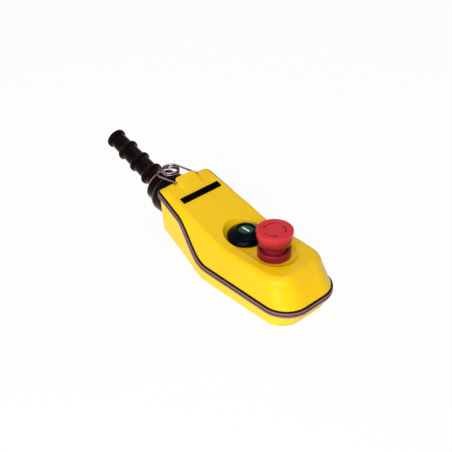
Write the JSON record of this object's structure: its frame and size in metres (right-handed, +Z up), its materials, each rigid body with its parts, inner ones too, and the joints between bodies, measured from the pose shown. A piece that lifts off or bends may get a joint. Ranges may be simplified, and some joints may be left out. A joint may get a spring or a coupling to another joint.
{
  "type": "crane pendant control",
  "caption": "Hand-held crane pendant control: two-shell yellow housing with a guarded start button, a mushroom stop button, a ringed cable boot and a wire bail.",
  "frame": {"origin": "middle of the flat underside, below the start button's front edge, on the surface that the part lies on", "axes": "+X towards the nose along the body, +Y to the left across it, +Z up, square to the button panel; the cable boot points to -X"},
  "size_m": [0.3403, 0.0908, 0.0991],
  "materials": {
    "yellow_cover": "satin gloss, golden yellow",
    "yellow_base": "satin gloss, lemon yellow",
    "black_rubber": "satin moulded rubber",
    "black_plastic": "satin black",
    "grey_plastic": "matt grey",
    "white_plastic": "satin white",
    "stop_red": "semi-gloss red",
    "collar_red": "semi-gloss dark red",
    "start_green": "semi-gloss dark green",
    "contact_red": "matt red",
    "contact_green": "matt green",
    "bright_steel": "bright zinc-plated steel",
    "bail_steel": "polished spring steel"
  },
  "bodies": {
    "housing": {"upper_shell": "yellow_cover", "lower_shell": "yellow_base", "seam_gasket": "black_rubber", "cable_boot": "black_rubber", "label_plate": "black_plastic", "start_guard": "black_rubber", "stop_collar": "collar_red", "cable_clamp": "bright_steel", "cable_clamp_screw_1": "bright_steel", "cable_clamp_screw_2": "bright_steel", "start_barrel": "black_plastic", "start_locknut": "black_plastic", "start_latch": "grey_plastic", "start_spring": "bright_steel", "stop_barrel": "black_plastic", "stop_locknut": "black_plastic", "stop_latch": "grey_plastic", "stop_spring": "bright_steel", "start_contact": "contact_green", "start_contact_screw_1": "bright_steel", "start_contact_screw_2": "bright_steel", "stop_contact_a": "contact_red", "stop_contact_a_screw_1": "bright_steel", "stop_contact_a_screw_2": "bright_steel", "stop_contact_b": "contact_red", "stop_contact_b_screw_1": "bright_steel", "stop_contact_b_screw_2": "bright_steel", "closing_screw_1": "bright_steel", "closing_screw_2": "bright_steel", "closing_screw_3": "bright_steel", "closing_screw_4": "bright_steel", "closing_screw_5": "bright_steel", "closing_screw_6": "bright_steel"},
    "start_button": {"start_cap": "start_green", "start_stem": "white_plastic"},
    "start_plunger": {"start_contact_plunger": "white_plastic"},
    "stop_slide": {"stop_stem": "collar_red"},
    "stop_twist": {"stop_head": "stop_red"},
    "stop_plunger_a": {"stop_contact_a_plunger": "white_plastic"},
    "stop_plunger_b": {"stop_contact_b_plunger": "white_plastic"},
    "bail": {"suspension_bail": "bail_steel"}
  },
  "joints": [
    {"name": "start_press", "type": "slide", "parent": "housing", "child": "start_button", "axis": [0, 0, -1], "range_m": [0, 0.004], "stiffness_N_per_m": 700, "springref_m": -0.004, "deforming": ["start_spring"]},
    {"name": "start_contact_press", "type": "slide", "parent": "housing", "child": "start_plunger", "axis": [0, 0, -1], "range_m": [0, 0.004], "stiffness_N_per_m": 150, "springref_m": -0.002},
    {"name": "stop_press", "type": "slide", "parent": "housing", "child": "stop_slide", "axis": [0, 0, -1], "range_m": [0, 0.004], "stiffness_N_per_m": 1500, "springref_m": -0.004, "deforming": ["stop_spring"]},
    {"name": "stop_turn", "type": "hinge", "parent": "stop_slide", "child": "stop_twist", "pos_m": [0.02, 0, 0], "axis": [0, 0, 1], "range_deg": [0, 45], "stiffness_Nm_per_rad": 0.04},
    {"name": "stop_contact_a_press", "type": "slide", "parent": "housing", "child": "stop_plunger_a", "axis": [0, 0, -1], "range_m": [0, 0.004], "stiffness_N_per_m": 150, "springref_m": -0.002},
    {"name": "stop_contact_b_press", "type": "slide", "parent": "housing", "child": "stop_plunger_b", "axis": [0, 0, -1], "range_m": [0, 0.004], "stiffness_N_per_m": 150, "springref_m": -0.002},
    {"name": "bail_swing", "type": "hinge", "parent": "housing", "child": "bail", "pos_m": [-0.121, 0, 0.08945], "axis": [0, 1, 0], "range_deg": [0, 170]}
  ],
  "couplings": [
    {"joint": "start_contact_press", "follows": "start_press", "ratio": 1},
    {"joint": "stop_contact_a_press", "follows": "stop_press", "ratio": 1},
    {"joint": "stop_contact_b_press", "follows": "stop_press", "ratio": 1}
  ]
}
